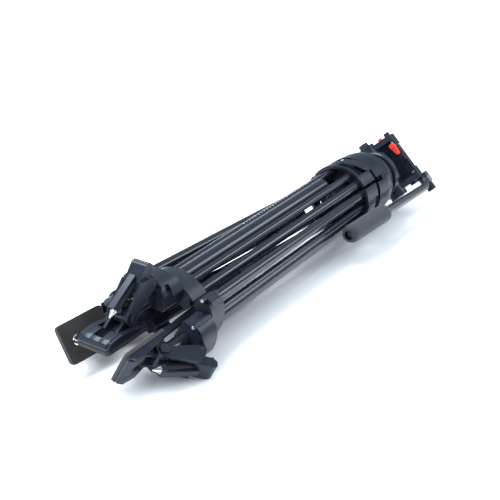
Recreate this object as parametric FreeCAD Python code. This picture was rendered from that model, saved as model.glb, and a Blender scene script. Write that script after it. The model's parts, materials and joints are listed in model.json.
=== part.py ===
"""Twin-tube video tripod with a fluid head, folded up and lying on its side.

The tripod's axis lies along +X, feet at low X and head at high X, and +Z is up.
The origin is on the floor under the middle of the object. Lengths are in millimetres.

Each leg is drawn in its own frame: X along the leg, Z outwards from the tripod's
axis and Y across the leg, with X = 0 at the foot's hub. place_leg() then swings it
about its shoulder pin and turns it round the tripod's axis. The head is drawn with
Y across the cradle, and place_head() turns it round the same axis.
"""
import FreeCAD, Part
import math
import os

V = FreeCAD.Vector
ALONG = V(1, 0, 0)
ACROSS = V(0, 1, 0)

# Where the legs are
LEG_TURN = {"a": 0.0, "b": 120.0, "c": 240.0}
LEG_SPLAY = {"a": -3.45, "b": 2.8, "c": 2.8}
HINGE_X, HINGE_Z = 592.0, 47.0
HINGE_PIN_R = 3.0

# Tubes
UPPER_R, UPPER_WALL, UPPER_Y, UPPER_Z = 8.0, 1.6, 33.0, 30.0
MIDDLE_R, MIDDLE_WALL, MIDDLE_Y, MIDDLE_Z = 6.0, 1.2, 18.5, 43.0
LOWER_R, LOWER_WALL, LOWER_Z = 11.5, 1.8, 43.0
UPPER_SPAN = (92.0, 588.0)
MIDDLE_SPAN = (62.0, 560.0)
LOWER_SPAN = (10.8, 500.0)
SLIDE_GAP = 0.3

# Shoulders and clamps
SHELL_R, SHELL_WALL = 58.0, 3.4
RIM_X, SHOULDER_TOP = 553.5, 596.0
SHOULDER_HALF = 57.3
KNUCKLE_R, KNUCKLE_IN, KNUCKLE_OUT = 5.5, 14.0, 24.0
MID_CLAMP_SPAN = (88.0, 119.0)
MID_CLAMP_R = 55.5
LOW_CLAMP_SPAN = (53.0, 87.0)
LOW_LEVER_END = 88.4
MID_CLAMP_HALF = 42.2
PIVOT_Y, PIVOT_Z, PIVOT_R = 44.9, 27.5, 3.3

# Feet
HUB_R, HUB_BOLT_R = 10.0, 4.0
PAD_HALF, PAD_FRONT, PAD_BACK = 27.0, -60.0, 18.0
PAD_TOP, PAD_THICK, SOLE_THICK = -13.2, 4.0, 5.0
SPIKE_BUTT, SPIKE_TIP = (20.0, 31.0), (-24.0, 7.0)
SPIKE_R, SPIKE_CONE = 6.0, 11.0
TAB_PIN = (47.0, 30.0)

# Spreader
CLEVIS_X, CLEVIS_Z = 21.0, 20.0
SPREADER_HUB = V(250.0, 0.0, -24.0)
SPREADER_HUB_R = 8.0
ARM_WIDE, ARM_TALL = 10.0, 8.4

# Crown and bowl
CROWN_X0, CROWN_X1 = 600.0, 671.0
BALL_R, BOWL_GAP, BOWL_WALL = 37.5, 0.3, 5.0
TIE_ROD_R = 5.0

# Head
HEAD_TURN = 225.0
RING_SPAN, RING_R = (684.0, 697.0), 44.0
TILT_X = 713.0
AXLE_R, AXLE_GAP = 8.0, 0.06
ARM_IN, ARM_OUT = 38.5, 48.5
ARM_END_R = 15.5
PLATFORM_SPAN, PLATFORM_HALF_Z = (741.0, 754.0), 43.0
PLATE_HALF_Y, PLATE_HALF_Z = 25.0, 38.0
DOVETAIL_LEAN = 0.36
CAMERA_SCREW_R = 3.175
ROSETTE_X, ROSETTE_Z, ROSETTE_R = 757.0, -38.0, 11.5
BAR_R, BAR_Y, BAR_BEND = 7.5, 69.0, 16.0
RED_BUTTON_X, RED_BUTTON_Z = 740.0, -20.0
BALANCE_X, BALANCE_Z = 749.0, -32.5
GRIP_SPAN, GRIP_R = (457.0, 581.0), 15.5


# --- small helpers ---------------------------------------------------------

def rod_x(x0, x1, radius, y=0.0, z=0.0):
    return Part.makeCylinder(radius, x1 - x0, V(x0, y, z), ALONG)


def rod_y(y0, y1, radius, x=0.0, z=0.0):
    return Part.makeCylinder(radius, y1 - y0, V(x, y0, z), ACROSS)


def block(x0, x1, y0, y1, z0, z1):
    return Part.makeBox(x1 - x0, y1 - y0, z1 - z0, V(x0, y0, z0))


def face_of(points):
    return Part.Face(Part.makePolygon(points + [points[0]]))


def side_plate(outline, y0, y1):
    """A plate cut from an outline of (x, z) points, from y0 to y1."""
    return face_of([V(x, y0, z) for x, z in outline]).extrude(V(0, y1 - y0, 0))


def cross_plate(outline, x0, x1):
    """A plate cut from an outline of (y, z) points, from x0 to x1."""
    return face_of([V(x0, y, z) for y, z in outline]).extrude(V(x1 - x0, 0, 0))


def turned(profile):
    """A solid of revolution about the X axis, from (x, radius) points."""
    return face_of([V(x, 0, r) for x, r in profile]).revolve(V(0, 0, 0), ALONG, 360)


def wedge(x0, x1, a0, a1, reach=200.0):
    """A sector about the X axis; angles in degrees from +Z towards +Y."""
    arms = [a0 + (a1 - a0) * i / 2.0 for i in range(3)]
    rim = [(reach * math.sin(math.radians(a)), reach * math.cos(math.radians(a))) for a in arms]
    return cross_plate([(0.0, 0.0)] + rim, x0, x1)


def arc_band(x0, x1, r_in, r_out, a0, a1):
    ring = rod_x(x0, x1, r_out).cut(rod_x(x0 - 1, x1 + 1, r_in))
    return ring.common(wedge(x0, x1, a0, a1))


def fuse(*shapes):
    return shapes[0].multiFuse(list(shapes[1:])).removeSplitter()


def cut(shape, *tools):
    for tool in tools:
        shape = shape.cut(tool)
    return shape


def moved(shape, x=0.0, y=0.0, z=0.0):
    copy = shape.copy()
    copy.translate(V(x, y, z))
    return copy


def rounded(shape, radius, wanted):
    """Fillets the edges for which wanted(edge) is true."""
    return shape.makeFillet(radius, [e for e in shape.Edges if wanted(e)])


def runs_along(edge, direction):
    if edge.Curve.TypeId != "Part::GeomLine":
        return False
    return abs(edge.tangentAt(edge.FirstParameter).dot(direction)) > 0.999


def place_leg(shape, leg):
    copy = shape.copy()
    copy.rotate(V(HINGE_X, 0, HINGE_Z), ACROSS, LEG_SPLAY[leg])
    copy.rotate(V(0, 0, 0), ALONG, LEG_TURN[leg])
    return copy


def place_point(point, leg):
    return place_leg(Part.Vertex(point), leg).Point


def place_head(shape):
    copy = shape.copy()
    copy.rotate(V(0, 0, 0), ALONG, HEAD_TURN)
    return copy


# --- legs ------------------------------------------------------------------

def tube_pair(span, radius, wall, half, z):
    sides = []
    for y in (-half, half):
        sides.append(rod_x(span[0], span[1], radius, y, z).cut(rod_x(span[0] - 1, span[1] + 1, radius - wall, y, z)))
    return Part.makeCompound(sides)


def shoulder():
    """Sector-shaped casting that holds the upper tubes and turns on the shoulder pin."""
    shell = arc_band(RIM_X, SHOULDER_TOP, SHELL_R - SHELL_WALL, SHELL_R, -SHOULDER_HALF, SHOULDER_HALF)
    bead = arc_band(RIM_X, RIM_X + 4, SHELL_R - 4.5, SHELL_R + 0.8, -SHOULDER_HALF, SHOULDER_HALF)
    web = arc_band(575, 581, 24, SHELL_R - 2, -SHOULDER_HALF, SHOULDER_HALF)
    web = web.common(block(570, 585, -60, 60, 19, 60))
    body = fuse(shell, bead, web)
    for side in (-1, 1):
        socket = rod_x(562, SHOULDER_TOP - 3, UPPER_R + 3, side * UPPER_Y, UPPER_Z)
        near, far = sorted((side * KNUCKLE_IN, side * KNUCKLE_OUT))
        ear = fuse(block(580, HINGE_X, near, far, HINGE_Z - KNUCKLE_R, HINGE_Z + KNUCKLE_R),
                   rod_y(near, far, KNUCKLE_R, HINGE_X, HINGE_Z))
        body = fuse(body, socket, ear)
        body = body.cut(rod_x(550, UPPER_SPAN[1], UPPER_R, side * UPPER_Y, UPPER_Z))
    edge_relief = rod_x(SHOULDER_TOP - 4, 610, 70).cut(
        turned([(SHOULDER_TOP - 4, 0), (610, 0), (610, SHELL_R - 18), (SHOULDER_TOP - 4, SHELL_R)]))
    lever_window = arc_band(563, 588, SHELL_R - 5, SHELL_R + 2, -37, 2)
    lock_slot = arc_band(583.5, 591, SHELL_R - 5, SHELL_R + 2, 10, 35)
    body = cut(body, edge_relief, lever_window, lock_slot,
               rod_y(-30, 30, HINGE_PIN_R + 0.05, HINGE_X, HINGE_Z))
    return body.common(wedge(540, 610, -SHOULDER_HALF, SHOULDER_HALF))


def angle_lever():
    """Curved leaf over the shoulder's window, hinged at its pin end."""
    outline = [(564, 7), (571, 9), (579, 3), (588, -12), (595.5, -33), (591, -39), (583, -33),
               (574, -19), (565, -7), (562, 1)]
    leaf = face_of([V(x, y, 40) for x, y in outline]).extrude(V(0, 0, 40))
    leaf = rounded(leaf, 2.0, lambda e: runs_along(e, V(0, 0, 1)))
    band = rod_x(555, 600, SHELL_R + 4.4).cut(rod_x(554, 601, SHELL_R + 1.0))
    pin = Part.makeCylinder(2.6, 3, V(569, 2.0, SHELL_R + 3.2), V(0, 0, 1))
    return fuse(leaf.common(band), pin)


def mid_clamp():
    """Casting on the upper tubes' ends, with guides for the middle tubes."""
    x0, x1 = MID_CLAMP_SPAN
    half = [(16, 28), (27, 19.5), (37, 19.5), (MID_CLAMP_HALF, 25), (MID_CLAMP_HALF, 60)]
    base = cross_plate(half + [(-y, z) for y, z in reversed(half)], x0, x1)
    body = base.common(rod_x(x0, x1, MID_CLAMP_R))
    for span in ((x0, x0 + 5), (x1 - 5, x1)):
        lug = fuse(rod_x(span[0], span[1], PIVOT_R, PIVOT_Y, PIVOT_Z),
                   block(span[0], span[1], 40, PIVOT_Y, PIVOT_Z - PIVOT_R, PIVOT_Z + PIVOT_R))
        body = fuse(body, lug)
    for side in (-1, 1):
        body = body.cut(rod_x(UPPER_SPAN[0], x1 + 1, UPPER_R, side * UPPER_Y, UPPER_Z))
        body = body.cut(rod_x(x0 - 1, x1 + 1, MIDDLE_R + SLIDE_GAP, side * MIDDLE_Y, MIDDLE_Z))
    body = body.cut(rod_x(x0 - 1, x1 + 1, LOWER_R + 0.8, 0, LOWER_Z))
    body = body.cut(rod_x(x0 + 5, x1 - 5, PIVOT_R + 0.4, PIVOT_Y, PIVOT_Z))
    screw = fuse(rod_x(x0 - 1.5, x1 + 1.5, 2.0, PIVOT_Y, PIVOT_Z), rod_x(x0 - 2.5, x0, 3.2, PIVOT_Y, PIVOT_Z))
    return fuse(body, screw)


def mid_lever():
    """Band that wraps the middle clamp and flips open on its pivot screw."""
    x0, x1 = MID_CLAMP_SPAN[0] + 5.3, MID_CLAMP_SPAN[1] - 5.3
    inner = MID_CLAMP_R + 0.4
    strap = arc_band(MID_CLAMP_SPAN[0] + 1, MID_CLAMP_SPAN[1] - 1, inner, inner + 3.6, -54, 49)
    end_plate = cross_plate([(42.7, 28), (PIVOT_Y + PIVOT_R, 27), (47.5, 38), (43, 42), (41, 40)], x0, x1)
    barrel = rod_x(x0, x1, PIVOT_R, PIVOT_Y, PIVOT_Z)
    hook = cross_plate([(-42.8, 28), (-45, 27), (-47.5, 33), (-46, 37), (-42.8, 37)], x0, x1)
    body = fuse(strap, end_plate, barrel, hook)
    body = body.cut(rod_x(x0 - 1, x1 + 1, inner).common(block(x0 - 1, x1 + 1, -42.6, 42.6, 0, 70)))
    return body.cut(rod_x(x0 - 1, x1 + 1, 2.06, PIVOT_Y, PIVOT_Z))


def lower_clamp():
    """Windowed block on the middle tubes' ends, which grips the lower tube."""
    x0, x1 = LOW_CLAMP_SPAN
    outline = [(-24, 28), (24, 28), (28, 34), (28, 58), (22, 66), (-22, 66), (-28, 58), (-28, 34)]
    body = cross_plate(outline, x0, x1)
    body = rounded(body, 3.0, lambda e: runs_along(e, ALONG)).common(rod_x(x0, x1, 29.2, 0, LOWER_Z))
    window = block(x0 + 9, x1 - 9, -40, 40, 54.5, 60)
    trough = block(x0 + 6, x1 - 6, -20, 20, 58, 80)
    vee = side_plate([(x0 - 1, 58), (x0 + 12, 70), (x0 - 1, 70)], -40, 40)
    body = cut(body, window, trough, vee, rod_x(x0 - 1, x1 + 1, LOWER_R + SLIDE_GAP, 0, LOWER_Z))
    for side in (-1, 1):
        body = body.cut(rod_x(MIDDLE_SPAN[0], x1 + 1, MIDDLE_R, side * MIDDLE_Y, MIDDLE_Z))
    for span in ((x0, x0 + 5), (x1 - 5, x1)):
        body = fuse(body, fuse(rod_x(span[0], span[1], 4.2, 31, 46), block(span[0], span[1], 26, 31, 41.8, 50.2)))
    body = body.cut(rod_x(x0 + 5, x1 - 5, 4.8, 31, 46))
    bolt = fuse(rod_x(x0 - 2, x1 + 1, 2.0, 31, 46), rod_x(x0 - 3, x0, 3.4, 31, 46))
    return fuse(body, bolt)


def lower_lever():
    """Crescent lever over the lower clamp, hinged along one side."""
    x0, x1 = LOW_CLAMP_SPAN
    x2 = LOW_LEVER_END
    shell = rod_x(x0 + 1, x2, 33.5, 0, LOWER_Z).cut(rod_x(x0, x2 + 1, 29.5, 0, LOWER_Z))
    shell = shell.common(block(x0, x2, -40, 40, 49, 80))
    shell = shell.cut(block(x1 - 0.4, x2 + 1, -40, -22, 40, 80))
    shell = shell.cut(block(x1 - 0.4, x2 + 1, 22, 40, 40, 80))
    shell = shell.cut(side_plate([(x0 - 1, 68), (x0 + 11, 80), (x0 - 1, 80)], -40, 40))
    shell = shell.cut(side_plate([(x2 + 1, 62), (x2 - 11, 80), (x2 + 1, 80)], -40, 40))
    shell = shell.cut(block(x0, x0 + 14, -40, -12, 40, 66))
    for span in ((x0, x0 + 5.4), (x1 - 5.4, x1 + 0.5)):
        shell = cut(shell, rod_x(span[0], span[1], 4.7, 31, 46), block(span[0], span[1], 26, 31, 45, 50.7))
    barrel = fuse(rod_x(x0 + 5.4, x1 - 5.4, 4.2, 31, 46), block(x0 + 5.4, x1 - 5.4, 29.3, 33.2, 46, 51))
    body = fuse(shell, barrel)
    return cut(body, rod_x(x0, x1, 2.06, 31, 46), block(x0, x1, -28.3, 28.3, 40, 60))


def lower_tube():
    """Wide tube, and the end knuckle with the bolt that the foot turns on."""
    tube = rod_x(LOWER_SPAN[0], LOWER_SPAN[1], LOWER_R, 0, LOWER_Z)
    tube = tube.cut(rod_x(LOWER_SPAN[0] - 1, LOWER_SPAN[1] + 1, LOWER_R - LOWER_WALL, 0, LOWER_Z))
    tongue = fuse(rod_y(-8.5, 8.5, HUB_R, 0, LOWER_Z), block(0, 11, -8.5, 8.5, LOWER_Z - HUB_R, LOWER_Z + HUB_R))
    tongue = tongue.common(fuse(rod_x(-20, 11, LOWER_R, 0, LOWER_Z), rod_y(-8.5, 8.5, HUB_R, 0, LOWER_Z)))
    plug = rod_x(LOWER_SPAN[0], 30, LOWER_R - LOWER_WALL, 0, LOWER_Z)
    bolt = rod_y(-19.2, 19.2, HUB_BOLT_R, 0, LOWER_Z)
    heads = [rod_y(y, y + 2.2, 6.6, 0, LOWER_Z) for y in (-21.4, 19.2)]
    clevis = cut(block(12, CLEVIS_X, -7.5, 7.5, CLEVIS_Z - 4, LOWER_Z - LOWER_R + 0.5), rod_x(8, 60, LOWER_R, 0, LOWER_Z))
    ears = [fuse(block(CLEVIS_X - 6, CLEVIS_X, y, y + 2.2, CLEVIS_Z - 4, CLEVIS_Z + 4),
                 rod_y(y, y + 2.2, 4, CLEVIS_X, CLEVIS_Z)) for y in (-7.5, 5.3)]
    clevis = fuse(clevis, *ears)
    clevis = clevis.cut(block(CLEVIS_X - 5.0, CLEVIS_X + 5, -5.3, 5.3, 10, CLEVIS_Z + 5.3))
    pin = rod_y(-8.4, 8.4, 1.8, CLEVIS_X, CLEVIS_Z)
    strap = rod_x(12, CLEVIS_X, LOWER_R + 1.6, 0, LOWER_Z)
    strap = strap.cut(rod_x(8, 60, LOWER_R, 0, LOWER_Z))
    knuckle = fuse(tongue, plug, bolt, *heads)
    return Part.makeCompound([tube, knuckle, fuse(clevis, pin, strap)])


def foot_pad():
    """Rocker over the hub that carries the rubber sole."""
    top, bottom = PAD_TOP, PAD_TOP - PAD_THICK
    plate = block(PAD_FRONT, PAD_BACK, -PAD_HALF, PAD_HALF, bottom, top)
    plate = rounded(plate, 5.0, lambda e: runs_along(e, V(0, 0, 1)))
    slot = fuse(block(-38, -10, -7.6, 7.6, -40, 0), Part.makeCylinder(7.6, 40, V(-38, 0, -40)))
    body = plate
    for side in (-1, 1):
        near, far = sorted((side * 8.9, side * 13.4))
        ear = fuse(rod_y(near, far, HUB_R, 0, 0),
                   side_plate([(-9.5, 0), (9.5, 0), (9.5, -9), (15, top), (15, bottom), (-30, bottom), (-30, top)], near, far))
        rib_near, rib_far = sorted((side * 18.5, side * PAD_HALF))
        rib = side_plate([(PAD_FRONT + 3, top), (-52, top + 5), (-30, top + 7), (4, top + 2), (6, top)],
                         rib_near, rib_far)
        body = fuse(body, ear, rounded(rib, 1.5, lambda e: runs_along(e, ACROSS) and e.Vertexes[0].Z > top + 1))
    lip = side_plate([(PAD_FRONT, top), (PAD_FRONT + 8, top), (PAD_FRONT + 4, top + 3)], -22, 22)
    notch = block(9, PAD_BACK + 5, -8.7, 8.7, -40, 0)
    body = cut(fuse(body, lip), slot, notch, rod_y(-30, 30, HUB_BOLT_R + 0.06, 0, 0))
    return moved(body, z=LOWER_Z)


def rubber_sole():
    """Flat rubber sole."""
    top = PAD_TOP - PAD_THICK
    sole = block(PAD_FRONT - 1, PAD_BACK + 1, -PAD_HALF - 1, PAD_HALF + 1, top - SOLE_THICK, top)
    sole = rounded(sole, 5.5, lambda e: runs_along(e, V(0, 0, 1)))
    slot = fuse(block(-38, -10, -7.6, 7.6, -40, 0), Part.makeCylinder(7.6, 40, V(-38, 0, -40)))
    sole = cut(sole, slot, block(9, PAD_BACK + 5, -8.7, 8.7, -40, 0))
    return moved(sole, z=LOWER_Z)


def spike_direction():
    dx, dz = SPIKE_TIP[0] - SPIKE_BUTT[0], SPIKE_TIP[1] - SPIKE_BUTT[1]
    length = math.hypot(dx, dz)
    return V(dx / length, 0, dz / length), length


def spike_arm():
    """Arm beside the hub that holds the spike and ends in a ribbed foot tab."""
    outline = [(-9, -6), (2, -11), (16, 4), (50, 24), (53, 34), (40, 41), (24, 40), (17, 33), (-6, 10)]
    body = None
    for side in (-1, 1):
        near, far = sorted((side * 13.8, side * 18.2))
        cheek = fuse(side_plate(outline, near, far), rod_y(near, far, HUB_R + 1, 0, 0))
        body = cheek if body is None else fuse(body, cheek)
    bridge = side_plate([(20.5, 31.5), (27, 22), (44, 26), (50, 34), (40, 41), (26, 41)], -14, 14)
    tab = side_plate([(24, 40), (38, 30), (53, 48), (53.5, 55), (47, 60.5), (40, 58)], -13, 13)
    tab = rounded(tab, 2.5, lambda e: runs_along(e, ACROSS) and e.Vertexes[0].Z > 45)
    along, length = spike_direction()
    up = V(-along.z, 0, along.x)
    if up.z < 0:
        up = up * -1
    butt = V(SPIKE_BUTT[0], 0, SPIKE_BUTT[1])
    rail_start = butt + up * (SPIKE_R + 1.2)
    rail_points = [rail_start - along * 14, rail_start + along * 40, rail_start + along * 40 + up * 3,
                   rail_start - along * 14 + up * 5]
    rail = side_plate([(p.x, p.z) for p in rail_points], -5, 5)
    guard = Part.makeCylinder(SPIKE_R + 4, 6, butt + along * 33, along)
    guard = guard.cut(Part.makeCylinder(SPIKE_R + 0.9, 8, butt + along * 32, along))
    below = butt + along * 36 - up * 21
    guard = guard.cut(Part.makeCylinder(18, 60, below - V(0, 30, 0), ACROSS))
    body = fuse(body, bridge, tab, rail, guard)
    for i in range(6):
        step = V(52.5 - 1.4 * i, 0, 47.5 + 2.2 * i)
        if i > 3:
            step = V(51.5 - 4.0 * (i - 3), 0, 55.0 + 1.6 * (i - 3))
        body = fuse(body, rod_y(-13, 13, 1.5, step.x, step.z))
    body = cut(body, rod_y(-30, 30, HUB_BOLT_R + 0.06, 0, 0), rod_y(-30, 30, 2.4, TAB_PIN[0], TAB_PIN[1]))
    body = body.cut(Part.makeCylinder(SPIKE_R, 12, butt - along * 8, along))
    return moved(body, z=LOWER_Z)


def spike():
    """Steel spike with a cone tip, and the tab's cross pin."""
    along, length = spike_direction()
    butt = V(SPIKE_BUTT[0], 0, SPIKE_BUTT[1])
    shank = Part.makeCylinder(SPIKE_R, length - SPIKE_CONE + 8, butt - along * 8, along)
    cone = Part.makeCone(SPIKE_R - 0.6, 1.2, SPIKE_CONE, butt + along * (length - SPIKE_CONE), along)
    pin = rod_y(-19.0, 19.0, 2.4, TAB_PIN[0], TAB_PIN[1])
    return moved(Part.makeCompound([fuse(shank, cone), pin]), z=LOWER_Z)


# --- spreader --------------------------------------------------------------

def arm_end(leg):
    """Where the spreader arm's inner end lies, beside the centre hub."""
    if leg == "a":
        return SPREADER_HUB + V(-13, 0, 2)
    side = -1 if leg == "b" else 1
    return SPREADER_HUB + V(-6, side * (SPREADER_HUB_R + 5.6), 0)


def spreader_arm(leg):
    """Channel bar from the foot's clevis to the centre hub; its eyes follow the clevis pin."""
    start = place_point(V(CLEVIS_X, 0, CLEVIS_Z), leg)
    end = arm_end(leg)
    run = end.sub(start)
    length = run.Length
    bar = block(9, length - 7, -ARM_WIDE / 2, ARM_WIDE / 2, -ARM_TALL / 2, ARM_TALL / 2)
    bar = bar.cut(block(18, length - 14, -ARM_WIDE / 2 + 1.6, ARM_WIDE / 2 - 1.6, -ARM_TALL, ARM_TALL / 2 - 1.6))
    bar.rotate(V(0, 0, 0), ALONG, LEG_TURN[leg])
    heading = FreeCAD.Rotation(ALONG, run)
    bar.rotate(V(0, 0, 0), heading.Axis, math.degrees(heading.Angle))
    bar.translate(start)
    root = fuse(rod_y(-4.6, 4.6, 3.8), block(0, 14, -4.6, 4.6, -3.4, 3.4)).cut(rod_y(-10, 10, 1.86))
    plane_run = FreeCAD.Rotation(ALONG, -LEG_TURN[leg]).multVec(run)
    lean = math.degrees(math.atan2(-plane_run.z, plane_run.x))
    root.rotate(V(0, 0, 0), ACROSS, lean)
    root.rotate(V(0, 0, 0), ALONG, LEG_TURN[leg])
    root.translate(start)
    tip = fuse(rod_y(-4.6, 4.6, 3.8), block(-12, 0, -4.6, 4.6, -3.4, 3.4)).cut(rod_y(-10, 10, 1.86))
    tip.rotate(V(0, 0, 0), heading.Axis, math.degrees(heading.Angle))
    tip.translate(end)
    return fuse(bar, root, tip)


def spreader_hub():
    """Centre hub that the arms meet at; one lug holds the upper leg's arm."""
    end = arm_end("a")
    body = Part.makeCylinder(SPREADER_HUB_R, 18, SPREADER_HUB + V(-3, 0, 0), ALONG)
    body = fuse(body, Part.makeCylinder(SPREADER_HUB_R - 3, 6, SPREADER_HUB + V(13, 0, 0), ALONG))
    for y in (-7.2, 4.8):
        lug = fuse(Part.makeBox(14, 2.4, 7.6, V(end.x, y, end.z - 3.8)), rod_y(y, y + 2.4, 3.8, end.x, end.z))
        body = fuse(body, lug)
    pin = rod_y(-8, 8, 1.8, end.x, end.z)
    return fuse(body, pin)


# --- crown and bowl ----------------------------------------------------------

def crown():
    """Three-lobed casting with the bowl, the skirt and the lugs for the shoulder pins."""
    skirt = turned([(CROWN_X0, 53.6), (CROWN_X0, SHELL_R), (632, SHELL_R - 0.6), (647, 55.5), (660, 50.5),
                    (CROWN_X1 - 2, 45.5), (CROWN_X1, 44), (CROWN_X1, 40), (664, 40), (652, 48), (634, 53.6)])
    centre = V(CROWN_X1, 0, 0)
    inside = Part.makeSphere(BALL_R + BOWL_GAP + 2, centre)
    bowl = Part.makeSphere(BALL_R + BOWL_GAP + BOWL_WALL, centre).cut(Part.makeSphere(BALL_R + BOWL_GAP, centre))
    bowl = bowl.common(rod_x(600, CROWN_X1, 60))
    rim = rod_x(CROWN_X1 - 10, CROWN_X1, 44).cut(rod_x(640, CROWN_X1 + 1, BALL_R + BOWL_GAP + 0.4))
    body = fuse(skirt, bowl, rim)
    for i in range(3):
        turn = 120.0 * i
        lug = fuse(block(HINGE_X, 628, -13.7, 13.7, HINGE_Z - KNUCKLE_R, HINGE_Z + 2.6),
                   block(CROWN_X0 + 2, 626, -13.7, 13.7, HINGE_Z, 55.5),
                   rod_y(-13.7, 13.7, KNUCKLE_R, HINGE_X, HINGE_Z))
        lug = lug.cut(inside)
        seam = block(CROWN_X0 - 1, 619, -4.5, 4.5, 52, 62)
        seam.rotate(V(0, 0, 0), ALONG, 60)
        groove = block(617, 672, -1.4, 1.4, 56.2, 62)
        groove.rotate(V(0, 0, 0), ALONG, 60)
        rib = block(612, 655, -2, 2, 36, 55).cut(inside)
        rib.rotate(V(0, 0, 0), ALONG, 60)
        for shape, add in ((lug, True), (rib, True), (seam, False), (groove, False)):
            shape.rotate(V(0, 0, 0), ALONG, turn)
            body = fuse(body, shape) if add else body.cut(shape)
    for i in range(3):
        bore = rod_y(-30, 30, HINGE_PIN_R, HINGE_X, HINGE_Z)
        bore.rotate(V(0, 0, 0), ALONG, 120.0 * i)
        body = body.cut(bore)
    return body.cut(rod_x(600, CROWN_X1 - 17, 15))


def hinge_pins():
    pins = []
    for i in range(3):
        pin = rod_y(-KNUCKLE_OUT - 0.5, KNUCKLE_OUT + 0.5, HINGE_PIN_R, HINGE_X, HINGE_Z)
        pin.rotate(V(0, 0, 0), ALONG, 120.0 * i)
        pins.append(pin)
    return Part.makeCompound(pins)


def half_ball():
    """Levelling ball, flat on top, with the neck that the head stands on."""
    ball = Part.makeSphere(BALL_R, V(CROWN_X1, 0, 0)).common(rod_x(CROWN_X1 - 35.5, CROWN_X1, 40))
    neck_end = RING_SPAN[0] - 0.4
    neck = turned([(CROWN_X1, 0), (CROWN_X1, 34), (CROWN_X1 + 3, 36), (neck_end - 1.5, 37.5), (neck_end, 36.5),
                   (neck_end, 0)])
    rod = rod_x(CROWN_X1 - 74, CROWN_X1 - 27, TIE_ROD_R)
    return fuse(ball, neck, rod)


def tie_down_knob():
    """Cup washer and long knob on the ball's rod."""
    centre = V(CROWN_X1, 0, 0)
    cup_in = BALL_R + BOWL_GAP + BOWL_WALL + 0.4
    cup = Part.makeSphere(cup_in + 5, centre).cut(Part.makeSphere(cup_in, centre))
    cup = cup.common(rod_x(CROWN_X1 - 57, CROWN_X1 - 35, 20))
    knob = turned([(534, 0), (534, 9), (537, 13), (574, 15), (586, 15), (594, 11), (614, 9), (627, 9), (627, 0)])
    flutes = []
    for i in range(8):
        flute = rod_x(530, 588, 3, 0, 16.6)
        flute.rotate(V(0, 0, 0), ALONG, 45.0 * i)
        flutes.append(flute)
    body = cut(fuse(cup, knob), *flutes)
    return body.cut(rod_x(596, 654, TIE_ROD_R + AXLE_GAP))


# --- head, drawn with Y across the cradle -------------------------------------

def pan_housing():
    """Ring and tilt core that turn on the pan axis, with the tilt axle."""
    x0, x1 = RING_SPAN
    ring = turned([(x0, 0), (x0, 42.5), (x0 + 1.5, RING_R), (x1 - 3, RING_R), (x1, 41), (x1, 0)])
    core = block(x1 - 1, TILT_X, -27, 27, -22, 22)
    core = rounded(core, 8.0, lambda e: runs_along(e, ALONG))
    drum = rod_y(-27, 27, 24.5, TILT_X, 0).common(block(x1 - 1, 760, -30, 30, -30, 30))
    boss = rod_y(-ARM_IN + 0.3, ARM_IN - 0.3, ARM_END_R, TILT_X, 0)
    axle = rod_y(-ARM_OUT + 0.5, ARM_OUT - 0.5, AXLE_R, TILT_X, 0)
    return fuse(ring, core, drum, boss, axle)


def pan_knob():
    """Pan lock knob on the back of the ring."""
    x = (RING_SPAN[0] + RING_SPAN[1]) / 2
    stem = Part.makeCylinder(3.5, 8, V(x, 0, RING_R - 1), V(0, 0, 1))
    knob = Part.makeCylinder(6.5, 12, V(x, 0, RING_R + 5), V(0, 0, 1))
    body = fuse(stem, knob)
    for i in range(8):
        turn = 2 * math.pi * i / 8
        body = body.cut(Part.makeCylinder(1.4, 20, V(x + 7.1 * math.cos(turn), 7.1 * math.sin(turn), RING_R + 4)))
    return body.cut(rod_x(660, 700, RING_R + 0.3))


def cradle():
    """Two side arms and the platform that the camera plate slides in."""
    x0, x1 = PLATFORM_SPAN
    outline = [(TILT_X - 4, -14.6), (TILT_X + 4, -20), (x0 + 2, -PLATFORM_HALF_Z), (x0 + 2, PLATFORM_HALF_Z),
               (TILT_X + 4, 20), (TILT_X - 4, 14.6)]
    platform = block(x0, x1, -ARM_OUT, ARM_OUT, -PLATFORM_HALF_Z, PLATFORM_HALF_Z)
    platform = rounded(platform, 3.0, lambda e: runs_along(e, ALONG))
    body = platform.cut(block(x0 - 1, x0 + 3, -ARM_IN + 3, ARM_IN - 3, -30, 30))
    for side in (-1, 1):
        near, far = sorted((side * ARM_IN, side * ARM_OUT))
        body = fuse(body, side_plate(outline, near, far), rod_y(near, far, ARM_END_R, TILT_X, 0))
    body = body.cut(dovetail(x1 - 7.3, x1 + 1, 0.35, 120))
    body = fuse(body, pivot_cap(), handle_boss())
    level = block(x0 - 3, x0 + 1, -6, 6, -42, -34)
    body = fuse(body, level)
    pocket = rod_y(-60, -ARM_OUT + 1.7, 4.5, RED_BUTTON_X, RED_BUTTON_Z)
    return cut(body, pocket, rod_y(-60, ARM_OUT, AXLE_R + AXLE_GAP, TILT_X, 0))


def pivot_cap():
    """Fluted cap over the tilt axle, on the handle's side."""
    cap = rod_y(ARM_OUT - 1, 57.5, 17, TILT_X, 0)
    for i in range(18):
        turn = 2 * math.pi * i / 18
        cap = cap.cut(rod_y(50.5, 60, 1.2, TILT_X + 17.4 * math.cos(turn), 17.4 * math.sin(turn)))
    return cap


def handle_boss():
    """Round boss for the handle's clamp, the web that carries it and its pin."""
    boss = rod_y(ARM_OUT - 4, 53.6, ROSETTE_R, ROSETTE_X, ROSETTE_Z)
    web = block(728, ROSETTE_X - 6, ARM_OUT - 1, 53.6, ROSETTE_Z + 2, ROSETTE_Z + 14)
    return fuse(boss, web, rod_y(ARM_OUT - 4, 78, 3.0, ROSETTE_X, ROSETTE_Z))


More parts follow.
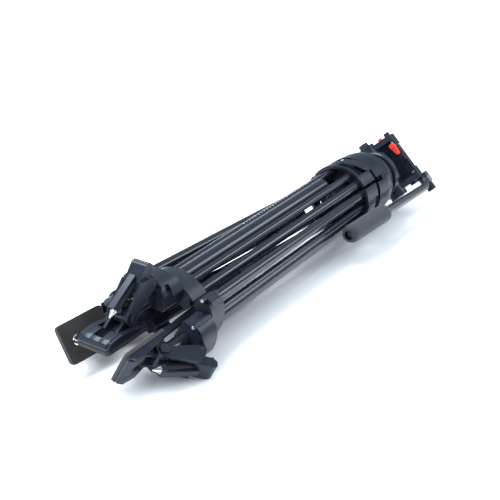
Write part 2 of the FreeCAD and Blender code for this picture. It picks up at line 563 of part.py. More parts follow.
def dovetail(x0, x2, slack, length):
    """Prism with leaning flanks up to the platform's top and straight ones above it."""
    half = PLATE_HALF_Y + slack
    foot = half + (PLATFORM_SPAN[1] - x0) * DOVETAIL_LEAN
    profile = [(x0, foot), (PLATFORM_SPAN[1], half), (x2, half)]
    points = [V(x, y, -length / 2) for x, y in profile] + [V(x, -y, -length / 2) for x, y in reversed(profile)]
    return face_of(points).extrude(V(0, 0, length))


def quick_plate():
    """Sliding camera plate with its screw."""
    x1 = PLATFORM_SPAN[1]
    plate = dovetail(x1 - 7, x1 + 4, 0, 2 * PLATE_HALF_Z)
    starts = [-34 + 4.5 * i for i in range(6)] + [10 + 4.5 * i for i in range(6)]
    pad_grooves = [block(x1 + 3.2, x1 + 5, -PLATE_HALF_Y + 4, PLATE_HALF_Y - 4, z, z + 1.2) for z in starts]
    plate = cut(plate, *pad_grooves)
    screw = fuse(rod_x(x1 + 3, x1 + 9.5, CAMERA_SCREW_R), rod_x(x1 - 7, x1 + 4, 6))
    return Part.makeCompound([plate.cut(screw), screw])


def plate_lever():
    """Red lever under the platform that clamps the plate."""
    x0 = PLATFORM_SPAN[0]
    hub = rod_x(x0 - 8, x0 - 0.3, 4.5, -28, -35)
    arm = face_of([V(x0 - 7, -33, -38), V(x0 - 7, -26, -30.5), V(x0 - 7, -8.5, -35), V(x0 - 7, -8.5, -40),
                   V(x0 - 7, -28, -42)])
    arm = arm.extrude(V(5.5, 0, 0))
    return fuse(hub, rounded(arm, 1.2, lambda e: runs_along(e, ALONG)))


def plate_button():
    """Red safety button on the outside of the cradle arm."""
    return fuse(rod_y(-53, -ARM_OUT - 0.2 + 0.4, 4.2, RED_BUTTON_X, RED_BUTTON_Z),
                rod_y(-54, -53, 3.2, RED_BUTTON_X, RED_BUTTON_Z))


def balance_knob():
    """Small black counterbalance knob on the cradle arm."""
    knob = rod_y(-55.5, -ARM_OUT - 0.3, 5.5, BALANCE_X, BALANCE_Z)
    return rounded(knob, 1.0, lambda e: e.Vertexes[0].Y < -55)


def drag_dial():
    """Ribbed tilt drag dial round the tilt axis."""
    dial = rod_y(-53.6, -ARM_OUT - 0.3, 17, TILT_X, 0)
    for i in range(24):
        turn = 2 * math.pi * i / 24
        dial = dial.cut(rod_y(-70, -40, 0.9, TILT_X + 17.3 * math.cos(turn), 17.3 * math.sin(turn)))
    return dial.cut(rod_y(-70, -40, 5.3, TILT_X, 0))


def tilt_knob():
    """Small squarish tilt lock knob that stands out of the dial."""
    neck = rod_y(-56, -ARM_OUT - 0.2, 5, TILT_X, 0)
    head = block(TILT_X - 7.5, TILT_X + 7.5, -62, -54.4, -7.5, 7.5)
    return fuse(neck, rounded(head, 3.2, lambda e: runs_along(e, ACROSS)))


def bar_route():
    """Centre line of the handle bar: out of the clamp, round the bend, along the legs."""
    start = V(ROSETTE_X - 3, 59.5, ROSETTE_Z)
    corner = V(ROSETTE_X - 19, BAR_Y, ROSETTE_Z - 2)
    end = V(GRIP_SPAN[0] + 6, BAR_Y, ROSETTE_Z - 5)
    return start, corner, end


def pan_bar():
    """Bent aluminium bar with the clamp ring at its end."""
    start, corner, end = bar_route()
    first = corner.sub(start)
    second = end.sub(corner)
    half = (math.pi - first.getAngle(second * -1)) / 2
    back = BAR_BEND * math.tan(half)
    p1 = corner - first.normalize() * back
    p2 = corner + second.normalize() * back
    to_centre = ((p1 + p2) * 0.5 - corner).normalize()
    middle = corner + to_centre * (BAR_BEND / math.cos(half) - BAR_BEND)
    path = Part.Wire([Part.LineSegment(start, p1).toShape(), Part.Arc(p1, middle, p2).toShape(),
                      Part.LineSegment(p2, end).toShape()])
    section = Part.Wire([Part.makeCircle(BAR_R, start, p1.sub(start))])
    bar = path.makePipeShell([section], True, False)
    ring = rod_y(54, 66, ROSETTE_R, ROSETTE_X, ROSETTE_Z)
    body = fuse(bar, ring)
    knob_room = rod_y(66.2, 90, 8.9, ROSETTE_X, ROSETTE_Z)
    return cut(body, knob_room, rod_y(45, 53.9, 40, ROSETTE_X, ROSETTE_Z), rod_y(45, 90, 3.06, ROSETTE_X, ROSETTE_Z))


def bar_knob():
    """Locking knob of the handle clamp."""
    knob = rod_y(66.5, 81, 8.5, ROSETTE_X, ROSETTE_Z)
    for i in range(6):
        turn = 2 * math.pi * i / 6
        knob = knob.cut(rod_y(68, 90, 2.0, ROSETTE_X + 9.5 * math.cos(turn), ROSETTE_Z + 9.5 * math.sin(turn)))
    return knob.cut(rod_y(60, 78.3, 3.06, ROSETTE_X, ROSETTE_Z))


def grip():
    """Soft grip with rounded ends on the handle bar."""
    x0, x1 = GRIP_SPAN
    start, corner, end = bar_route()
    profile = turned([(x0, 0), (x0, 8), (x0 + 3, 12.5), (x0 + 9, GRIP_R), (x1 - 8, GRIP_R), (x1 - 2, 12.5), (x1, 9),
                      (x1, 0)])
    shape = moved(profile, y=BAR_Y, z=ROSETTE_Z - 4.4)
    run = corner.sub(end)
    hole = Part.makeCylinder(BAR_R, run.Length, end, run)
    return shape.cut(hole)


# --- assembly ----------------------------------------------------------------

LEG_PIECES = {
    "shoulder": shoulder,
    "angle_lever": angle_lever,
    "upper_tubes": lambda: tube_pair(UPPER_SPAN, UPPER_R, UPPER_WALL, UPPER_Y, UPPER_Z),
    "mid_clamp": mid_clamp,
    "mid_lever": mid_lever,
    "middle_tubes": lambda: tube_pair(MIDDLE_SPAN, MIDDLE_R, MIDDLE_WALL, MIDDLE_Y, MIDDLE_Z),
    "lower_clamp": lower_clamp,
    "lower_lever": lower_lever,
    "lower_tube": lower_tube,
    "foot_pad": foot_pad,
    "rubber_sole": rubber_sole,
    "spike_arm": spike_arm,
    "spike": spike,
}
HEAD_PIECES = {
    "pan_housing": pan_housing,
    "pan_knob": pan_knob,
    "cradle": cradle,
    "quick_plate": quick_plate,
    "plate_lever": plate_lever,
    "plate_button": plate_button,
    "balance_knob": balance_knob,
    "drag_dial": drag_dial,
    "tilt_knob": tilt_knob,
    "pan_bar": pan_bar,
    "bar_knob": bar_knob,
    "grip": grip,
}
CENTRE_PIECES = {
    "crown": crown,
    "hinge_pins": hinge_pins,
    "half_ball": half_ball,
    "tie_down_knob": tie_down_knob,
    "spreader_hub": spreader_hub,
}


def build():
    """Every piece by name, about the tripod's axis."""
    pieces = {name: make() for name, make in CENTRE_PIECES.items()}
    for name, make in HEAD_PIECES.items():
        pieces[name] = place_head(make())
    for name, make in LEG_PIECES.items():
        shape = make()
        for leg in LEG_TURN:
            pieces["leg_" + leg + "_" + name] = place_leg(shape, leg)
    for leg in LEG_TURN:
        pieces["leg_" + leg + "_spreader_arm"] = spreader_arm(leg)
    return pieces


def floor_shift(pieces):
    """The move that puts the origin on the floor, under the middle of the object."""
    box = Part.makeCompound(list(pieces.values())).optimalBoundingBox(False)
    return V(-(box.XMin + box.XMax) / 2, -(box.YMin + box.YMax) / 2, -box.ZMin)


def main():
    os.makedirs("parts", exist_ok=True)
    pieces = build()
    shift = floor_shift(pieces)
    for name, shape in pieces.items():
        shape.translate(shift)
        shape.exportStep("parts/" + name + ".step")
    print("pieces", len(pieces), "shift", shift)


if __name__ == "__main__":
    main()
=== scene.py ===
"""Looks of a folded twin-tube video tripod with a pan and tilt head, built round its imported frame."""

import json
import math

import bmesh
import bpy
from mathutils import Matrix, Vector


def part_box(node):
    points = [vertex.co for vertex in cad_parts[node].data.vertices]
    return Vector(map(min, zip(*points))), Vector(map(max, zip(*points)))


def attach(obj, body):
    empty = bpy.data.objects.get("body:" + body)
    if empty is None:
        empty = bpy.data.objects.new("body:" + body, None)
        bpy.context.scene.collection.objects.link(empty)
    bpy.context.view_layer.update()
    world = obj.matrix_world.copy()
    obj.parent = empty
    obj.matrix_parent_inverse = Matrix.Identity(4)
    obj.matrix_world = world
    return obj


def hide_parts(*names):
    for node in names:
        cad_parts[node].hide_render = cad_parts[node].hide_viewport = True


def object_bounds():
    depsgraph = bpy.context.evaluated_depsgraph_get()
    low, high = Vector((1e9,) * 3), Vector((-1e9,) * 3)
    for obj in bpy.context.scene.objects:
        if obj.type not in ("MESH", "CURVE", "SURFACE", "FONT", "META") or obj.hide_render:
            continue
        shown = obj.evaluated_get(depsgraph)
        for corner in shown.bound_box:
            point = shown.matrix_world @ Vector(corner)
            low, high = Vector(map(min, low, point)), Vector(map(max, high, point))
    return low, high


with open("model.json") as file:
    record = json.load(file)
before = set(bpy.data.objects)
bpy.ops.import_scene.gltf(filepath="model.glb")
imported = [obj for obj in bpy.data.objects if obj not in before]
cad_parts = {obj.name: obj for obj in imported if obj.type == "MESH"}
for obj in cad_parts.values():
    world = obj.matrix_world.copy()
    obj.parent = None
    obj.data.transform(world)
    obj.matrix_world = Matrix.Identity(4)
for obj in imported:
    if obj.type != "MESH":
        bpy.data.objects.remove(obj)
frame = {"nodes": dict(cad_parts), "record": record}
START_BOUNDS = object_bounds()
MM = 0.001

# --- camera, floor and lights, in metres -------------------------------------

CAMERA_AT = Vector((-1.1885, -0.801, 0.690))
CAMERA_RIGHT = Vector((0.5798, -0.8148, 0.0))
CAMERA_UP = Vector((0.3329, 0.2369, 0.9127))
LENS_MM = 70.9
SENSOR_MM = 36.0
FLOOR_HALF = 60.0
SOFT_BOXES = {  # where each lamp hangs, its disc's width, its watts and its colour
    "key_light": ((-0.3, 0.6, 1.5), 1.0, 34.0, (0.95, 0.98, 1.0)),
    "left_light": ((-1.4, 0.1, 1.0), 0.9, 13.0, (0.9, 0.95, 1.0)),
    "right_light": ((1.2, -1.0, 1.1), 0.8, 9.0, (0.95, 0.98, 1.0)),
}
SKY_POWER = 2.7
SKY_WIDTH_DEG = 150.0
SKY_COLOUR = (0.97, 0.985, 1.0)
ROOM_COLOUR = (0.6, 0.8, 1.0, 1.0)
ROOM_STRENGTH = 0.5

# --- the tripod's axis and legs, in metres and degrees -----------------------
# The part is drawn along X, feet at the low end. NECK_TOP is the neck's upper end in its
# own drawing, so SHIFT_X takes a place in that drawing to the frame.

NECK_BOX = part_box("half_ball")
AXIS_Y = (NECK_BOX[0][1] + NECK_BOX[1][1]) / 2
AXIS_Z = (NECK_BOX[0][2] + NECK_BOX[1][2]) / 2
NECK_TOP = 0.6836
SHIFT_X = NECK_BOX[1][0] - NECK_TOP
HEAD_TURN = 225.0
LEGS = ("a", "b", "c")
LEG_TURN = {"a": 0.0, "b": 120.0, "c": 240.0}
LEG_SPLAY = {"a": -3.45, "b": 2.8, "c": 2.8}
HINGE = Vector((0.592, 0.0, 0.047))

# --- pieces on a straight, unturned leg --------------------------------------

CLEVIS_X, CLEVIS_Z = 0.021, 0.020
CLEVIS_HALF = 9.0 * MM
CLEVIS_HEAD_R, CLEVIS_HEAD_TALL = 0.0031, 0.0016
PIN_ENDS = {  # place, facing and radius in millimetres, and the part of the leg that it rides on
    "lever_pin": ((569.0, 2.0, 64.5), (0, 0, 1), 2.7, "_angle_lock"),
    "mid_bolt": ((85.2, 44.9, 27.5), (-1, 0, 0), 2.5, ""),
    "lower_bolt": ((49.7, 31.0, 46.0), (-1, 0, 0), 2.7, "_middle"),
}
PAD_NOSE_X, PAD_BACK_X, PAD_TOP_Z = -58.0, -27.0, 29.8  # millimetres
PAD_HALF, PAD_SLOT_HALF, PAD_OVERLAP = 22.0, 7.8, 0.1
PAD_EDGE = 1.1
MIDDLE_TUBE_Y, MIDDLE_TUBE_Z, MIDDLE_TUBE_R = 0.0185, 0.043, 0.00605
MARKS, MARKS_FROM, MARK_STEP = 24, 300.0, 8.0  # a count, then millimetres
MARK_THICK, MARK_DEEP, SHORT_MARK, LONG_MARK = 0.7, 0.16, 1.6, 3.0
MARKS_PER_LONG = 5
BRIGHT_CONE = 0.0125

# --- pieces on the head ------------------------------------------------------

PLATFORM_LOW = 0.741
PLATFORM_SCREW_ACROSS, PLATFORM_SCREW_DEPTH = 0.034, -0.037
PLATFORM_SCREW_R, PLATFORM_SCREW_SINK = 0.003, 0.0004
GRIP_BAR_R = 0.0076
GRIP_RINGS = (  # share of the sleeve's length, and share of its radius there
    (0.0, 0.5), (0.006, 0.74), (0.018, 0.87), (0.045, 0.95), (0.09, 0.985), (0.2, 0.995), (0.5, 1.0),
    (0.8, 0.995), (0.92, 0.985), (0.96, 0.95), (0.984, 0.87), (0.995, 0.74), (1.0, 0.5),
)
SCREW_TALL = 0.0012
SCREW_TAPER, SOCKET_INSET, SOCKET_DEPTH = 0.86, 0.42, 0.7  # shares of the head's radius or height


# --- shader graphs -----------------------------------------------------------

class Value:
    """A number socket in a shader graph; arithmetic on it adds Math nodes."""

    def __init__(self, graph, socket):
        self.graph = graph
        self.socket = socket

    def math(self, operation, *others, first=None):
        inputs = [first if first is not None else self] + list(others)
        return self.graph.node("ShaderNodeMath", {"operation": operation}, dict(enumerate(inputs)))

    def __add__(self, other):
        return self.math("ADD", other)

    def __radd__(self, other):
        return self.math("ADD", other)

    def __sub__(self, other):
        return self.math("SUBTRACT", other)

    def __rsub__(self, other):
        return self.math("SUBTRACT", self, first=other)

    def __mul__(self, other):
        return self.math("MULTIPLY", other)

    def __rmul__(self, other):
        return self.math("MULTIPLY", other)

    def clamped(self):
        return self.math("MINIMUM", 1.0).math("MAXIMUM", 0.0)

    def stepped(self, low, high):
        """0 below low, 1 above high, smooth between."""
        settings = {"interpolation_type": "SMOOTHSTEP"}
        return self.graph.node("ShaderNodeMapRange", settings,
                               {"Value": self, "From Min": low, "From Max": high})


class Graph:
    """A material's node graph."""

    def __init__(self, name):
        self.material = bpy.data.materials.new(name)
        self.material.use_nodes = True
        self.tree = self.material.node_tree
        self.shader = next(n for n in self.tree.nodes if n.type == "BSDF_PRINCIPLED")
        self.place = self.node("ShaderNodeTexCoord", out="Object")

    def node(self, kind, settings=None, inputs=None, out=0):
        made = self.tree.nodes.new(kind)
        for key, value in (settings or {}).items():
            setattr(made, key, value)
        for key, value in (inputs or {}).items():
            self.feed(made.inputs[key], value)
        return Value(self, made.outputs[out])

    def feed(self, socket, value):
        if isinstance(value, Value):
            self.tree.links.new(value.socket, socket)
        else:
            socket.default_value = value

    def set(self, **values):
        """Sets or links the shader's sockets; an underscore stands for a space in a socket's name."""
        for key, value in values.items():
            self.feed(self.shader.inputs[key.replace("_", " ")], value)

    def scaled(self, scale):
        return self.node("ShaderNodeMapping", None, {"Vector": self.place, "Scale": scale})

    def noise(self, scale, detail=3.0, rough=0.5, stretch=None):
        where = self.scaled(stretch) if stretch else self.place
        return self.node("ShaderNodeTexNoise", None,
                         {"Vector": where, "Scale": scale, "Detail": detail, "Roughness": rough})

    def cells(self, scale):
        return self.node("ShaderNodeTexVoronoi", {"feature": "F1"},
                         {"Vector": self.place, "Scale": scale})

    def mixed(self, amount, first, second):
        return self.node("ShaderNodeMix", {"data_type": "RGBA"},
                         {"Factor": amount, 6: first, 7: second}, out=2)

    def edge_normal(self, radius):
        return self.node("ShaderNodeBevel", {"samples": 4}, {"Radius": radius})

    def edge_mask(self, soft_normal):
        """1 where the rounded normal leaves the face's own one, along an edge."""
        face = self.node("ShaderNodeNewGeometry", out="Normal")
        along = self.node("ShaderNodeVectorMath", {"operation": "DOT_PRODUCT"},
                          {0: face, 1: soft_normal}, out="Value")
        return (1.0 - along).stepped(0.004, 0.1)

    def bump(self, height, strength, distance, base=None):
        inputs = {"Height": height, "Strength": strength, "Distance": distance}
        if base:
            inputs["Normal"] = base
        return self.node("ShaderNodeBump", None, inputs)


# --- finishes ----------------------------------------------------------------

def rgb(red, green, blue):
    return (red, green, blue, 1.0)


BLACK = rgb(0.006, 0.0075, 0.012)
SHEEN_TINT = rgb(0.72, 0.82, 1.0)
# Lighter grey that the tube edges are painted towards: a painted highlight.
TUBE_EDGE_HIGHLIGHT = rgb(0.2, 0.21, 0.23)
ALONG_TUBE = (0.02, 1.0, 1.0)


def casting(name, base, wear_and_edge_highlight, rough, grain=900.0, coat=0.2):
    """Satin black moulding or painted casting: fine grain, faint smudges, edges painted lighter in
    patches as a painted highlight.
    """
    g = Graph(name)
    soft = g.edge_normal(0.0006)
    edge = g.edge_mask(soft)
    smudge = g.noise(9.0, 4.0, 0.6).stepped(0.35, 0.75)
    patch = g.noise(45.0, 3.0, 0.65).stepped(0.38, 0.7)
    pores = g.noise(grain, 2.0, 0.7)
    # The edges are painted lighter, in patches: a painted highlight on their rounding.
    highlit_edges = (edge * (0.45 + 0.55 * patch)).clamped()
    smudged = rgb(*[min(1.0, c * 1.5 + 0.004) for c in base[:3]])
    colour = g.mixed(smudge * 0.45, base, smudged)
    g.set(Base_Color=g.mixed(highlit_edges * 0.75, colour, wear_and_edge_highlight),
          Roughness=(rough + 0.10 * smudge - 0.08 * edge + 0.05 * patch).clamped(),
          Normal=g.bump(pores, strength=0.25, distance=0.0002, base=soft),
          Specular_IOR_Level=0.36, Specular_Tint=SHEEN_TINT)
    if coat:
        g.set(Coat_Weight=coat, Coat_Roughness=0.2, Coat_Tint=SHEEN_TINT)
    return g.material


def anodised(name, base, streak, rough):
    """Drawn aluminium, dark anodised: streaks along the tube and a few fine rubs."""
    g = Graph(name)
    soft = g.edge_normal(0.0004)
    edge = g.edge_mask(soft)
    drawn = g.noise(60.0, 3.0, 0.5, stretch=ALONG_TUBE)
    rub = g.noise(12.0, 4.0, 0.6, stretch=(0.25, 1.0, 1.0)).stepped(0.6, 0.85)
    fine = g.noise(500.0, 2.0, 0.5, stretch=ALONG_TUBE)
    colour = g.mixed((0.5 * drawn + 0.4 * rub).clamped(), base, streak)
    # The edges are painted lighter: a painted highlight.
    g.set(Base_Color=g.mixed(edge * 0.6, colour, TUBE_EDGE_HIGHLIGHT),
          Roughness=(rough + 0.06 * drawn + 0.08 * rub - 0.05 * edge).clamped(),
          Normal=g.bump(fine, strength=0.04, distance=0.00005, base=soft),
          Metallic=0.2, Coat_Weight=0.35, Coat_Roughness=0.12,
          Specular_IOR_Level=0.4, Specular_Tint=SHEEN_TINT)
    return g.material


def bright_metal(name, base, rough, brushed=0.2):
    """Bare turned or brushed metal with fine lines and faint blotches."""
    g = Graph(name)
    soft = g.edge_normal(0.0003)
    lines = g.noise(400.0, 3.0, 0.6, stretch=(0.08, 1.0, 1.0))
    blotch = g.noise(30.0, 3.0, 0.6)
    dulled = rgb(*[c * 0.75 for c in base[:3]])
    g.set(Base_Color=g.mixed(blotch * 0.4, base, dulled),
          Roughness=(rough + brushed * 0.4 * lines + 0.08 * blotch).clamped(),
          Normal=g.bump(lines, brushed, distance=0.0001, base=soft),
          Metallic=1.0)
    return g.material


def gloss_red(name):
    """Glossy moulded red, cloudy, and paler along its edges as a painted highlight."""
    g = Graph(name)
    soft = g.edge_normal(0.0005)
    edge = g.edge_mask(soft)
    cloud = g.noise(80.0, 3.0, 0.6)
    # Paler along the edges: a painted highlight; the cloud is the moulding's own.
    cloud_and_edge_highlight = (0.5 * cloud + 0.4 * edge).clamped()
    g.set(Base_Color=g.mixed(cloud_and_edge_highlight, rgb(0.62, 0.025, 0.02), rgb(0.8, 0.10, 0.07)),
          Roughness=(0.24 + 0.16 * cloud).clamped(),
          Normal=g.bump(g.noise(600.0), strength=0.08, distance=0.0001, base=soft),
          Coat_Weight=0.4)
    return g.material


def sole_rubber(name):
    """Smooth worn rubber, dusty grey where it has been trodden, black along the rim."""
    g = Graph(name)
    soft = g.edge_normal(0.0012)
    edge = g.edge_mask(soft)
    dust = g.noise(35.0, 5.0, 0.65)
    scuff = g.noise(14.0, 4.0, 0.6, stretch=(1.0, 0.3, 1.0)).stepped(0.4, 0.75)
    trodden = (0.55 * dust + 0.45 * scuff).clamped()
    colour = g.mixed(trodden, rgb(0.010, 0.010, 0.010), rgb(0.038, 0.036, 0.034))
    g.set(Base_Color=g.mixed(edge * 0.85, colour, rgb(0.012, 0.012, 0.013)),
          Roughness=(0.62 + 0.22 * dust).clamped(),
          Normal=g.bump(g.noise(420.0, 4.0, 0.7), strength=0.35, distance=0.0004, base=soft))
    return g.material


def grip_foam(name):
    """Closed-cell foam, blue-grey and matt, with small pits and lighter patches where it is handled."""
    g = Graph(name)
    pits = g.cells(900.0)
    pores = g.noise(1600.0, 3.0, 0.7)
    handled = g.noise(24.0, 4.0, 0.6).stepped(0.4, 0.75)
    g.set(Base_Color=g.mixed(handled * 0.7, rgb(0.012, 0.016, 0.023), rgb(0.030, 0.038, 0.050)),
          Roughness=(0.72 + 0.14 * handled).clamped(),
          Normal=g.bump(pits * 0.6 + pores * 0.6, strength=0.5, distance=0.0005),
          Sheen_Weight=0.15, Sheen_Roughness=0.5)
    return g.material


def spike_metal(name, tip, bright_reach):
    """Blackened shank with a bright ground cone near the tip."""
    g = Graph(name)
    soft = g.edge_normal(0.0003)
    reach = g.node("ShaderNodeVectorMath", {"operation": "DISTANCE"}, {0: g.place, 1: tip}, out="Value")
    cone = 1.0 - reach.stepped(bright_reach - 0.0004, bright_reach + 0.0004)
    lines = g.noise(500.0, 3.0, 0.6)
    g.set(Base_Color=g.mixed(cone, rgb(0.022, 0.024, 0.028), rgb(0.72, 0.73, 0.75)),
          Metallic=0.3 + 0.7 * cone,
          Roughness=(0.36 - 0.2 * cone + 0.12 * lines).clamped(),
          Normal=g.bump(lines, strength=0.15, distance=0.0001, base=soft))
    return g.material


def printed_white(name):
    """Thin white print, with uneven wear."""
    g = Graph(name)
    wear_and_edge_highlight = g.noise(300.0, 4.0, 0.7)
    g.set(Base_Color=g.mixed(wear_and_edge_highlight * 0.5, rgb(0.78, 0.79, 0.8), rgb(0.5, 0.51, 0.52)),
          Roughness=(0.45 + 0.2 * wear_and_edge_highlight).clamped(),
          Normal=g.bump(wear_and_edge_highlight, strength=0.1, distance=0.0001))
    return g.material


def floor_paper(name):
    """Matt, almost white backdrop paper."""
    g = Graph(name)
    cloud = g.noise(3.0, 3.0, 0.5)
    g.set(Base_Color=g.mixed(cloud * 0.3, rgb(0.93, 0.935, 0.945), rgb(0.90, 0.905, 0.92)),
          Roughness=(0.85 + 0.1 * cloud).clamped(),
          Normal=g.bump(g.noise(200.0), strength=0.03, distance=0.0005),
          Specular_IOR_Level=0.1)
    return g.material


# In each casting the second colour is the one its edges are painted towards: a painted highlight.
FINISH = {
    "cast_black": casting("cast_black", BLACK, rgb(0.07, 0.075, 0.085), 0.33),
    "cast_blue_black": casting("cast_blue_black", rgb(0.011, 0.014, 0.021), rgb(0.09, 0.1, 0.12), 0.30),
    "lever_grey": casting("lever_grey", rgb(0.013, 0.0145, 0.018), rgb(0.09, 0.095, 0.11), 0.34,
                          grain=700.0, coat=0.15),
    "tube_black": anodised("tube_black", rgb(0.010, 0.011, 0.014), rgb(0.03, 0.033, 0.04), 0.2),
    "head_black": casting("head_black", rgb(0.010, 0.012, 0.019), rgb(0.16, 0.19, 0.2), 0.3, coat=0.25),
    "plate_black": anodised("plate_black", rgb(0.012, 0.013, 0.016), rgb(0.03, 0.033, 0.036), 0.36),
    "knob_black": casting("knob_black", rgb(0.010, 0.011, 0.014), rgb(0.07, 0.072, 0.08), 0.34,
                          grain=1200.0, coat=0.0),
    "red_plastic": gloss_red("red_plastic"),
    "pin_steel": bright_metal("pin_steel", rgb(0.75, 0.76, 0.78), 0.16),
    "sole_rubber": sole_rubber("sole_rubber"),
    "bar_grey": bright_metal("bar_grey", rgb(0.15, 0.155, 0.17), 0.26, brushed=0.3),
    "grip_foam": grip_foam("grip_foam"),
    "printed_white": printed_white("printed_white"),
}


def paint(node, material):
    data = frame["nodes"][node].data
    data.materials.clear()
    data.materials.append(material)
    for face in data.polygons:
        face.material_index = 0


def spike_tip(node):
    """The spike's sharp end: its point furthest towards the feet."""
    data = frame["nodes"][node].data
    return min((v.co.copy() for v in data.vertices), key=lambda co: co.x)


def finish_frame():
    slots = {e["node"]: e["material_slot"] for e in frame["record"]["subparts"]}
    for node, slot in slots.items():
        if slot == "spike_steel":
            paint(node, spike_metal(node + "_steel", spike_tip(node), BRIGHT_CONE))
        elif slot in FINISH:
            paint(node, FINISH[slot])


# --- tools for pieces --------------------------------------------------------

def piece(name, mesh, body, material):
    """Turns a finished bmesh into an object that rides on a body."""
    data = bpy.data.meshes.new(name)
    bmesh.ops.recalc_face_normals(mesh, faces=mesh.faces)
    mesh.to_mesh(data)
    mesh.free()
    made = bpy.data.objects.new(name, data)
    bpy.context.scene.collection.objects.link(made)
    data.materials.append(material)
    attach(made, body)
    return made


def smooth(made, angle=35.0):
    for face in made.data.polygons:
        face.use_smooth = True
    made.data.set_sharp_from_angle(angle=math.radians(angle))


def body_with(node):
    bodies = frame["record"]["behaviour"]["bodies"]
    return next(name for name, nodes in bodies.items() if node in nodes)


def head_turned(x, across, depth):
    """A point of the head, given along the axis, across the cradle and in depth, in the frame."""
    turn = math.radians(HEAD_TURN)
    y = across * math.cos(turn) - depth * math.sin(turn)
    z = across * math.sin(turn) + depth * math.cos(turn)
    return Vector((x, AXIS_Y + y, AXIS_Z + z))


def leg_matrix(leg):
    """Takes a point of a straight, unturned leg to where that leg lies in the frame."""
    to_axis = Matrix.Translation((SHIFT_X, AXIS_Y, AXIS_Z))
    turned = to_axis @ Matrix.Rotation(math.radians(LEG_TURN[leg]), 4, "X")
    splay = Matrix.Rotation(math.radians(LEG_SPLAY[leg]), 4, "Y")
    return turned @ Matrix.Translation(HINGE) @ splay @ Matrix.Translation(-HINGE)


def prism(mesh, outline, y0, y1):
    """Adds a bar of that XZ outline, in millimetres, from y0 to y1."""
    corners = [mesh.verts.new((x * MM, y0 * MM, z * MM)) for x, z in outline]
    face = mesh.faces.new(corners)
    far = bmesh.ops.extrude_face_region(mesh, geom=[face])["geom"]
    moved = [v for v in far if isinstance(v, bmesh.types.BMVert)]
    bmesh.ops.translate(mesh, verts=moved, vec=(0, (y1 - y0) * MM, 0))


def screw_head(name, centre, outward, radius, body, tall=SCREW_TALL):
    """Bright button screw with a round socket."""
    mesh = bmesh.new()
    bmesh.ops.create_cone(mesh, cap_ends=True, segments=32, radius1=radius,
                          radius2=radius * SCREW_TAPER, depth=tall)
    top = max(mesh.faces, key=lambda f: f.calc_center_median().z)
    bmesh.ops.inset_individual(mesh, faces=[top], thickness=radius * SOCKET_INSET)
    hole = bmesh.ops.extrude_discrete_faces(mesh, faces=[top])["faces"]
    bmesh.ops.translate(mesh, verts=hole[0].verts, vec=(0, 0, -tall * SOCKET_DEPTH))
    turn = Vector((0, 0, 1)).rotation_difference(outward.normalized()).to_matrix()
    bmesh.ops.rotate(mesh, verts=mesh.verts, cent=(0, 0, 0), matrix=turn)
    bmesh.ops.translate(mesh, verts=mesh.verts, vec=centre)
    smooth(piece(name, mesh, body, FINISH["pin_steel"]))


# --- pieces ------------------------------------------------------------------

def pad_infill(leg):
    """Solid wedge between the pad's side ribs, open down the middle for the spike's tip."""
    mesh = bmesh.new()
    slope = [(PAD_NOSE_X, PAD_TOP_Z), (PAD_NOSE_X + 2, PAD_TOP_Z + 4), (PAD_NOSE_X + 9, PAD_TOP_Z + 6.5),
             (PAD_BACK_X - 4, PAD_TOP_Z + 8), (PAD_BACK_X, PAD_TOP_Z + 5), (PAD_BACK_X, PAD_TOP_Z)]
    nose_back = PAD_NOSE_X + 10.5
    nose = slope[:3] + [(nose_back, PAD_TOP_Z + 6.5), (nose_back, PAD_TOP_Z)]
    nose_half = PAD_SLOT_HALF + PAD_OVERLAP
    prism(mesh, slope, -PAD_HALF, -PAD_SLOT_HALF)
    prism(mesh, slope, PAD_SLOT_HALF, PAD_HALF)
    prism(mesh, nose, -nose_half, nose_half)
    bmesh.ops.bevel(mesh, geom=mesh.edges[:], offset=PAD_EDGE * MM, segments=2, profile=0.5,
                    affect="EDGES", material=-1, clamp_overlap=True)
    bmesh.ops.transform(mesh, matrix=leg_matrix(leg), verts=mesh.verts)
    smooth(piece(f"leg_{leg}_pad_infill", mesh, f"leg_{leg}_foot", FINISH["cast_black"]))


def clevis_pin_heads(leg):
    """Bright pin heads on both sides of the spreader's clevis."""
    to_frame = leg_matrix(leg)
    for side, tag in ((-1, "left"), (1, "right")):
        where = to_frame @ Vector((CLEVIS_X, side * CLEVIS_HALF, CLEVIS_Z))
        outward = to_frame.to_3x3() @ Vector((0, side, 0))
        screw_head(f"leg_{leg}_clevis_pin_{tag}", where, outward, CLEVIS_HEAD_R,
                   f"leg_{leg}_lower", tall=CLEVIS_HEAD_TALL)


def leg_screws(leg):
    """Bright ends of the lever pins and clamp bolts."""
    to_frame = leg_matrix(leg)
    for tag, (place, facing, radius, group) in PIN_ENDS.items():
        where = to_frame @ (Vector(place) * MM)
        outward = to_frame.to_3x3() @ Vector(facing)
        screw_head(f"leg_{leg}_{tag}_end", where, outward, radius * MM, f"leg_{leg}{group}")


def scale_marks(leg, side):
    """Printed height marks along the top of one of the middle tubes."""
    mesh = bmesh.new()
    for number in range(MARKS):
        wide = SHORT_MARK if number % MARKS_PER_LONG else LONG_MARK
        made = bmesh.ops.create_cube(mesh, size=1.0)["verts"]
        bmesh.ops.scale(mesh, verts=made, vec=(MARK_THICK * MM, wide * MM, MARK_DEEP * MM))
        x = (MARKS_FROM + number * MARK_STEP) * MM
        bmesh.ops.translate(mesh, verts=made,
                            vec=(x, side * MIDDLE_TUBE_Y, MIDDLE_TUBE_Z + MIDDLE_TUBE_R))
    bmesh.ops.transform(mesh, matrix=leg_matrix(leg), verts=mesh.verts)
    piece(f"leg_{leg}_scale_marks", mesh, f"leg_{leg}_middle", FINISH["printed_white"])


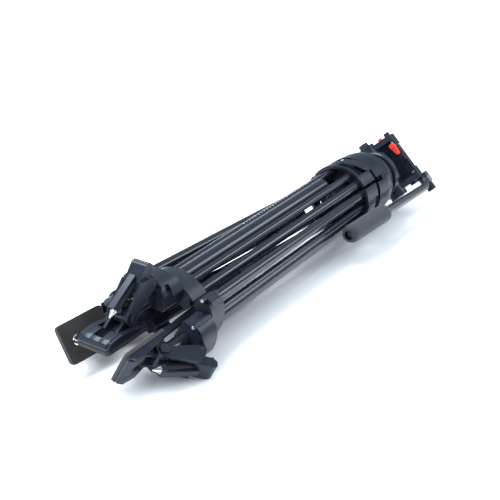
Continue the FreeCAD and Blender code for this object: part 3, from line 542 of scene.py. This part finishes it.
def soft_grip():
    """Foam sleeve with full rounded ends, a little fuller in the middle than at the ends."""
    low, high = [Vector(c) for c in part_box("grip")]
    centre = (low + high) / 2
    radius = (high.z - low.z) / 2
    length = high.x - low.x
    reaches = [(share, wide * radius) for share, wide in GRIP_RINGS]
    mesh = bmesh.new()
    row = [mesh.verts.new((low.x + share * length, centre.y, centre.z + reach))
           for share, reach in [(0.0, GRIP_BAR_R)] + reaches + [(1.0, GRIP_BAR_R)]]
    for first, second in zip(row, row[1:]):
        mesh.edges.new((first, second))
    bmesh.ops.spin(mesh, geom=mesh.verts[:] + mesh.edges[:], cent=centre, axis=(1, 0, 0),
                   angle=2 * math.pi, steps=64, use_merge=True)
    bmesh.ops.remove_doubles(mesh, verts=mesh.verts, dist=1e-6)
    made = piece("foam_sleeve", mesh, body_with("grip"), FINISH["grip_foam"])
    smooth(made, 60.0)
    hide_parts("grip")


def camera_platform_screws():
    """Two bright screws in the underside of the camera platform."""
    body = body_with("cradle")
    for number, side in ((1, -1), (2, 1)):
        where = head_turned(PLATFORM_LOW + SHIFT_X - PLATFORM_SCREW_SINK,
                            side * PLATFORM_SCREW_ACROSS, PLATFORM_SCREW_DEPTH)
        screw_head(f"platform_screw_{number}", where, Vector((-1, 0, 0)), PLATFORM_SCREW_R, body)


# --- floor, lights and camera ------------------------------------------------

def studio_floor():
    mesh = bmesh.new()
    bmesh.ops.create_grid(mesh, x_segments=1, y_segments=1, size=FLOOR_HALF)
    data = bpy.data.meshes.new("studio_floor")
    mesh.to_mesh(data)
    mesh.free()
    floor = bpy.data.objects.new("studio_floor", data)
    bpy.context.scene.collection.objects.link(floor)
    data.materials.append(floor_paper("floor_paper"))


def soft_box(name, at, aim, size, power, colour):
    """A round area lamp that faces its aim."""
    data = bpy.data.lights.new(name, "AREA")
    data.shape = "DISK"
    data.size = size
    data.energy = power
    data.color = colour
    lamp = bpy.data.objects.new(name, data)
    lamp.location = at
    lamp.rotation_euler = (aim - Vector(at)).to_track_quat("-Z", "Y").to_euler()
    bpy.context.scene.collection.objects.link(lamp)


def sky_light():
    """One very wide, even light that keeps the floor the same pale white to its edges."""
    data = bpy.data.lights.new("sky_light", "SUN")
    data.energy = SKY_POWER
    data.angle = math.radians(SKY_WIDTH_DEG)
    data.color = SKY_COLOUR
    lamp = bpy.data.objects.new("sky_light", data)
    lamp.visible_glossy = False
    bpy.context.scene.collection.objects.link(lamp)


def room():
    """The pale blue surroundings that the gloss mirrors, and the plain view transform."""
    world = bpy.data.worlds.new("studio")
    world.use_nodes = True
    background = world.node_tree.nodes["Background"]
    background.inputs["Color"].default_value = ROOM_COLOUR
    background.inputs["Strength"].default_value = ROOM_STRENGTH
    bpy.context.scene.world = world
    bpy.context.scene.view_settings.view_transform = "Standard"


def lights():
    middle = (Vector(START_BOUNDS[0]) + Vector(START_BOUNDS[1])) / 2
    for name, (at, size, power, colour) in SOFT_BOXES.items():
        soft_box(name, at, middle, size, power, colour)
    sky_light()
    room()


def camera():
    data = bpy.data.cameras.new("camera")
    data.lens = LENS_MM
    data.sensor_width = SENSOR_MM
    made = bpy.data.objects.new("camera", data)
    back = CAMERA_RIGHT.cross(CAMERA_UP)
    turn = Matrix((CAMERA_RIGHT, CAMERA_UP, back)).transposed()
    made.matrix_world = Matrix.Translation(CAMERA_AT) @ turn.to_4x4()
    bpy.context.scene.collection.objects.link(made)
    bpy.context.scene.camera = made


finish_frame()
soft_grip()
camera_platform_screws()
for leg in LEGS:
    pad_infill(leg)
    clevis_pin_heads(leg)
    leg_screws(leg)
scale_marks("a", 1)
studio_floor()
lights()
camera()
